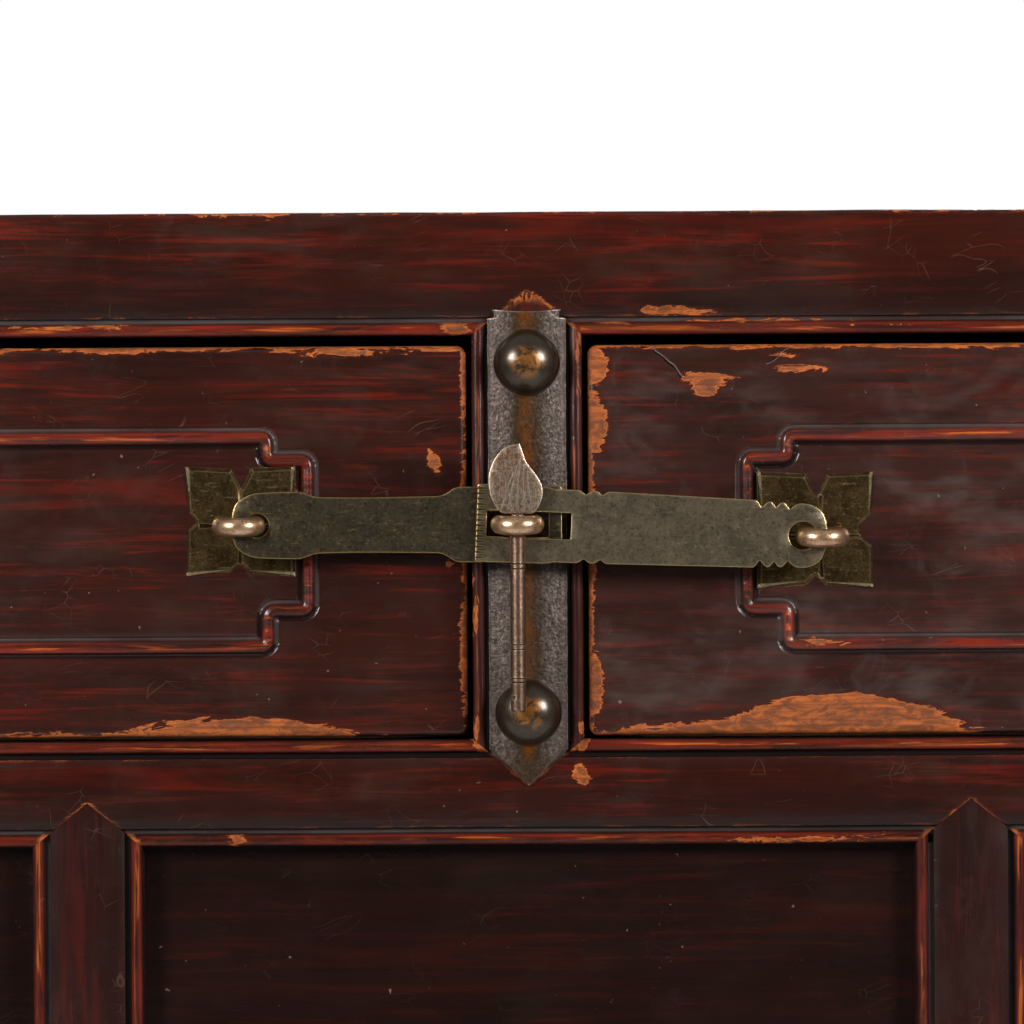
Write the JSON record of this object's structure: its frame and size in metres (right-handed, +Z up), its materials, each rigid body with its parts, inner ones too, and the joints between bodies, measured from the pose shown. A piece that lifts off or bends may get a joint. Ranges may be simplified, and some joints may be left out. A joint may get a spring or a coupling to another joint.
{
  "type": "carved side table",
  "caption": "Flush-topped side table with paired drawers held shut by hasps and a lift-out pin, pointed shoulder joints, beaded rails, a scalloped apron and hoof feet.",
  "frame": {"origin": "on the floor under the centre of the whole table's box, hardware included", "axes": "+X to the right along the width, +Y from the front to the back, +Z up"},
  "size_m": [0.93, 0.4534, 0.85],
  "materials": {
    "lacquer": "worn red-brown lacquer, glossy",
    "dark_lacquer": "dark brown lacquer",
    "inner_wood": "bare aged wood",
    "bronze": "dark aged bronze",
    "brass": "olive aged brass",
    "copper": "polished by use",
    "pewter": "grey worn plate"
  },
  "bodies": {
    "frame": {"top_front_rail": "lacquer", "top_back_rail": "lacquer", "top_end_left": "lacquer", "top_end_right": "lacquer", "top_panel": "lacquer", "top_battens": "inner_wood", "leg_front_left": "lacquer", "leg_front_right": "lacquer", "leg_back_left": "lacquer", "leg_back_right": "lacquer", "drawer_rail": "lacquer", "center_stile": "lacquer", "lower_rail": "lacquer", "frieze_post_left": "lacquer", "frieze_post_right": "lacquer", "frieze_panel_left": "dark_lacquer", "frieze_panel_center": "dark_lacquer", "frieze_panel_right": "dark_lacquer", "apron_front": "lacquer", "side_rail_left": "lacquer", "side_rail_right": "lacquer", "side_panel_left": "dark_lacquer", "side_panel_right": "dark_lacquer", "side_frieze_left": "dark_lacquer", "side_frieze_right": "dark_lacquer", "side_lower_rail_left": "lacquer", "side_lower_rail_right": "lacquer", "side_apron_left": "lacquer", "side_apron_right": "lacquer", "back_rail": "lacquer", "back_panel": "dark_lacquer", "back_frieze": "dark_lacquer", "back_lower_rail": "lacquer", "back_apron": "lacquer", "drawer_runners": "inner_wood", "drawer_guides": "inner_wood", "drawer_kicker": "inner_wood", "stile_plate": "pewter", "boss_upper": "bronze", "boss_lower": "bronze", "lock_staple": "copper"},
    "drawer_left": {"drawer_left_front": "lacquer", "drawer_left_side_outer": "inner_wood", "drawer_left_side_inner": "inner_wood", "drawer_left_back": "inner_wood", "drawer_left_bottom": "inner_wood", "hasp_plate_left": "brass", "ring_left": "copper"},
    "drawer_right": {"drawer_right_front": "lacquer", "drawer_right_side_outer": "inner_wood", "drawer_right_side_inner": "inner_wood", "drawer_right_back": "inner_wood", "drawer_right_bottom": "inner_wood", "hasp_plate_right": "brass", "ring_right": "copper"},
    "hasp_left": {"hasp_left": "bronze"},
    "hasp_right": {"hasp_right": "bronze"},
    "lock_pin": {"lock_pin": "bronze"}
  },
  "joints": [
    {"name": "drawer_left_slide", "type": "slide", "parent": "frame", "child": "drawer_left", "axis": [0, -1, 0], "range_m": [0, 0.3]},
    {"name": "drawer_right_slide", "type": "slide", "parent": "frame", "child": "drawer_right", "axis": [0, -1, 0], "range_m": [0, 0.3]},
    {"name": "hasp_left_turn", "type": "hinge", "parent": "drawer_left", "child": "hasp_left", "pos_m": [-0.0947, -0.2116, 0.7467], "axis": [0, 0, -1], "range_deg": [0, 175]},
    {"name": "hasp_right_turn", "type": "hinge", "parent": "drawer_right", "child": "hasp_right", "pos_m": [0.0967, -0.2138, 0.7421], "axis": [0, 0, 1], "range_deg": [0, 175]},
    {"name": "lock_pin_lift", "type": "slide", "parent": "frame", "child": "lock_pin", "axis": [0, 0, 1], "range_m": [0, 0.075]}
  ]
}
